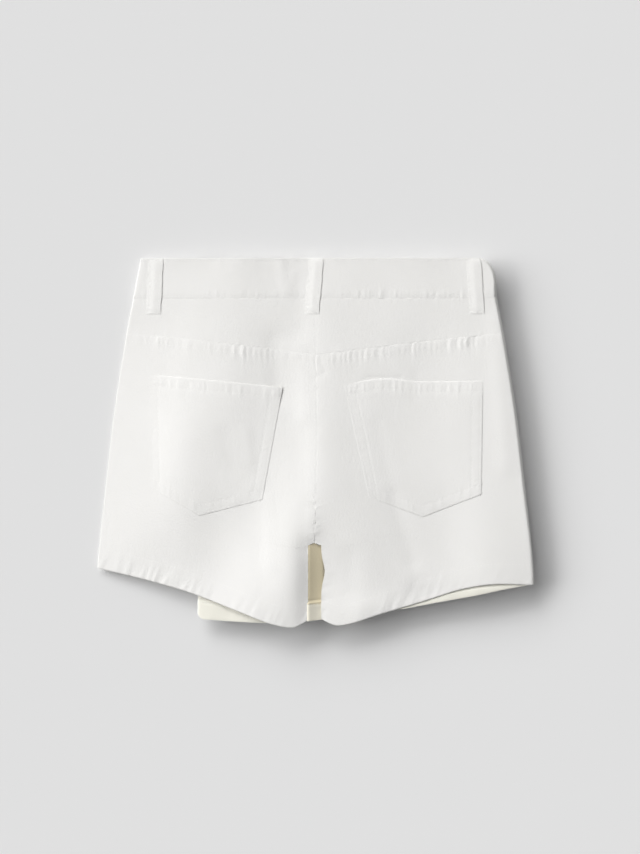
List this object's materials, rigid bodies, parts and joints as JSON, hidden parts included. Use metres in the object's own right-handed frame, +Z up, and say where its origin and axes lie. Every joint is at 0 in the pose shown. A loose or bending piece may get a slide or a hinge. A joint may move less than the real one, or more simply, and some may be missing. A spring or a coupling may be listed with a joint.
{
  "type": "skort",
  "caption": "White cotton-twill skort lying flat on its front, back up: waistband with belt loops, pointed yoke, patch pockets, shorts legs and a longer wrap skirt panel beneath.",
  "frame": {"origin": "middle of the outline seen from above, on the surface the garment lies on", "axes": "+Z up from the surface, +Y towards the waistband, +X towards the wearer's right (the garment lies with its back up)"},
  "size_m": [0.3933, 0.3321, 0.0151],
  "materials": {
    "twill": "white cotton twill, matt",
    "wrap_twill": "white cotton twill with an off-white inside, matt",
    "zip_tape": "woven polyester tape",
    "button_metal": "satin nickel"
  },
  "bodies": {
    "root": {"waistband": "twill", "yoke_left": "twill", "yoke_right": "twill", "back_left": "twill", "back_right": "twill", "front_left": "twill", "front_right": "twill", "skirt_panel": "wrap_twill", "pocket_left": "twill", "pocket_right": "twill", "belt_loop_left": "twill", "belt_loop_centre": "twill", "belt_loop_right": "twill", "fly_zip": "zip_tape", "waist_button": "button_metal"}
  },
  "joints": []
}
